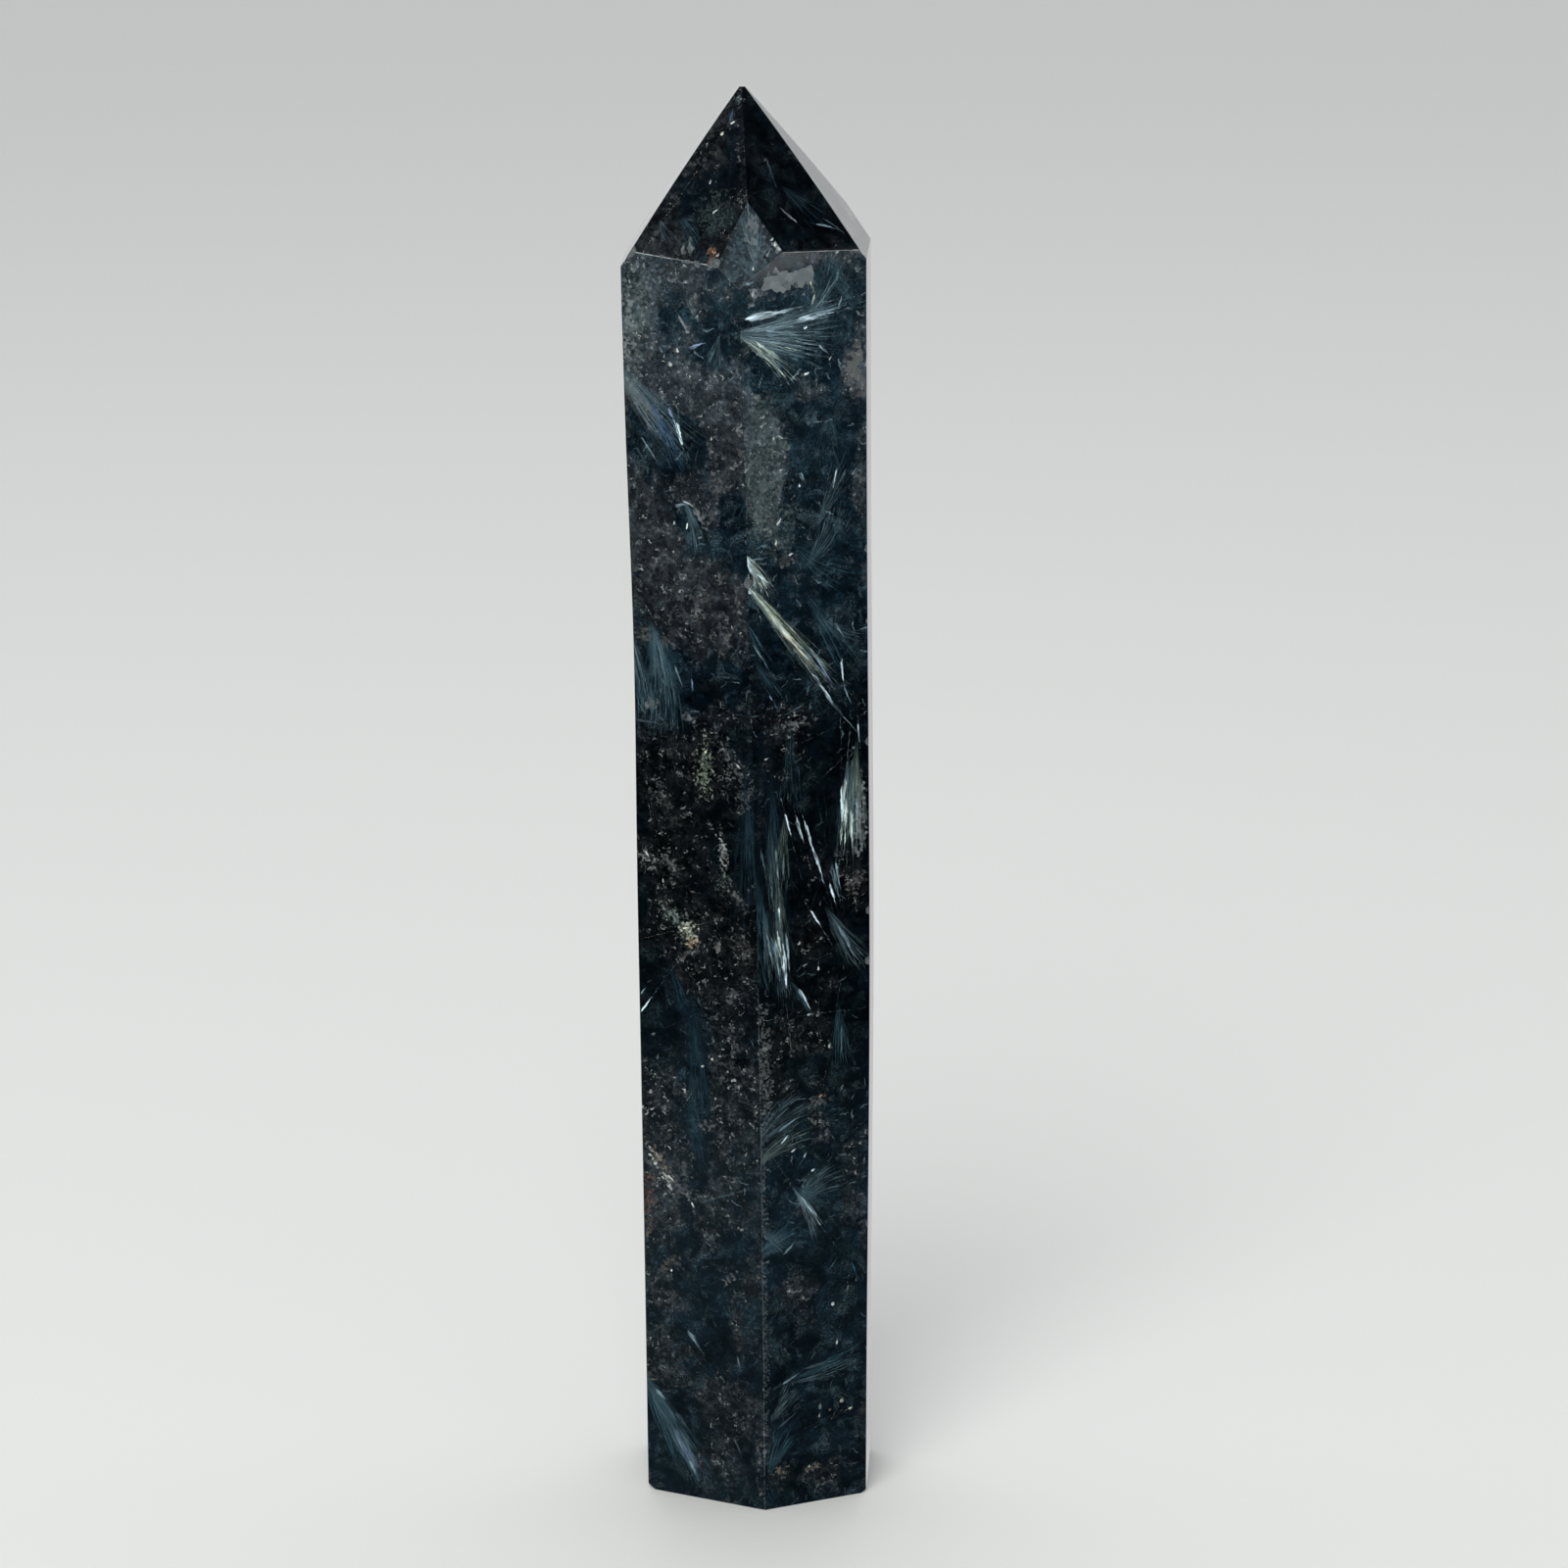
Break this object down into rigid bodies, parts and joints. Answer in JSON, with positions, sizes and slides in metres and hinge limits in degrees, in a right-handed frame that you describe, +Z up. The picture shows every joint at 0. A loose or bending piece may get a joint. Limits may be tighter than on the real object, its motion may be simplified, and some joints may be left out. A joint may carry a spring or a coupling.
{
  "type": "astrophyllite point",
  "caption": "Polished astrophyllite tower: a tall flattened hexagonal column of near-black stone with a faceted point and a flat base to stand on.",
  "frame": {"origin": "on the surface the stone stands on, under the middle of its bounding box", "axes": "+Z up along the column to the point, front edge with its small head facet towards -Y, wide way along X"},
  "size_m": [0.0282, 0.0218, 0.17],
  "materials": {
    "astrophyllite": "polished near-black blue stone with mauve-brown grains, silvery blue and gold bladed sprays and pale flecks"
  },
  "bodies": {
    "root": {"astrophyllite_point": "astrophyllite"}
  },
  "joints": []
}
